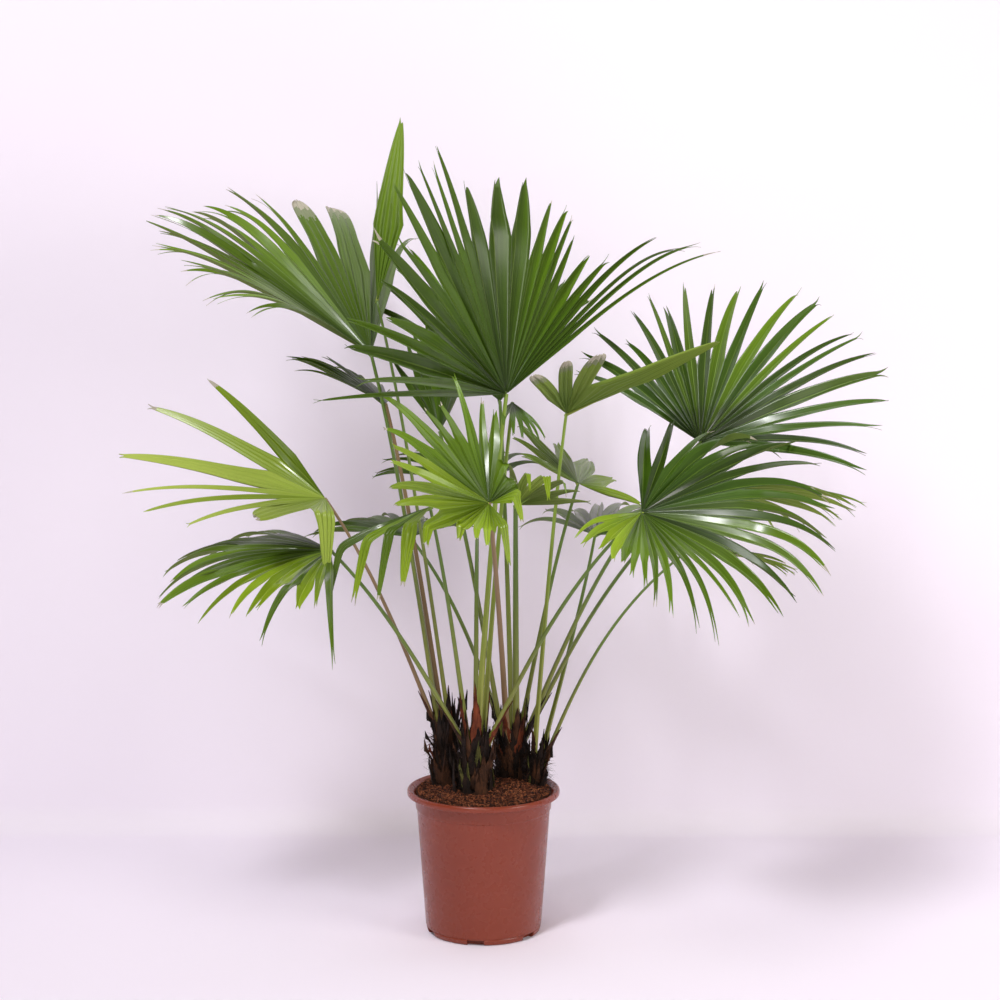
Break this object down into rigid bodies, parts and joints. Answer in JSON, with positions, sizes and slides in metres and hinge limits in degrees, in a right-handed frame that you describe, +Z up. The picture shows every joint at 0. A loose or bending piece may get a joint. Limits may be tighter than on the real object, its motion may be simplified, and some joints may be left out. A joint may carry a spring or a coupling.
{
  "type": "potted chinese fan palm",
  "caption": "Clump of fan palm in a round nursery pot: fibrous stumps, slender leaf stalks and wide pleated fan fronds split into pointed lobes.",
  "frame": {"origin": "centre of the pot's flat underside, on the ground", "axes": "+Z up; -Y is the side that the plant is seen from, and +X is to the right as seen from there"},
  "size_m": [1.1838, 0.7934, 1.2689],
  "materials": {
    "pot_plastic": "satin",
    "potting_mix": "matte",
    "stem_fibre": "matte",
    "stalk_green": "satin",
    "stalk_brown": "satin",
    "leaf_dark": "satin",
    "leaf_green": "satin",
    "leaf_lime": "satin",
    "leaf_olive": "satin"
  },
  "bodies": {
    "root": {"pot": "pot_plastic", "potting_mix": "potting_mix", "stem_1": "stem_fibre", "stem_2": "stem_fibre", "stem_3": "stem_fibre", "stem_4": "stem_fibre", "stalk_01": "stalk_green", "frond_01": "leaf_dark", "stalk_02": "stalk_green", "frond_02": "leaf_green", "stalk_03": "stalk_brown", "frond_03": "leaf_dark", "stalk_04": "stalk_green", "frond_04": "leaf_dark", "stalk_05": "stalk_brown", "frond_05": "leaf_lime", "stalk_06": "stalk_green", "frond_06": "leaf_green", "stalk_07": "stalk_green", "frond_07": "leaf_olive", "stalk_08": "stalk_green", "frond_08": "leaf_green", "stalk_09": "stalk_green", "frond_09": "leaf_lime", "stalk_10": "stalk_green", "frond_10": "leaf_olive", "stalk_11": "stalk_green", "frond_11": "leaf_olive", "stalk_12": "stalk_green", "frond_12": "leaf_olive", "stalk_13": "stalk_green", "frond_13": "leaf_dark", "stalk_14": "stalk_green", "frond_14": "leaf_dark", "stalk_15": "stalk_brown", "frond_15": "leaf_lime", "stalk_16": "stalk_green", "frond_16": "leaf_green", "stalk_17": "stalk_green", "frond_17": "leaf_green", "stalk_18": "stalk_green", "frond_18": "leaf_dark", "stalk_19": "stalk_green", "frond_19": "leaf_dark", "stalk_20": "stalk_green", "frond_20": "leaf_green", "stalk_21": "stalk_green", "frond_21": "leaf_dark"}
  },
  "joints": []
}
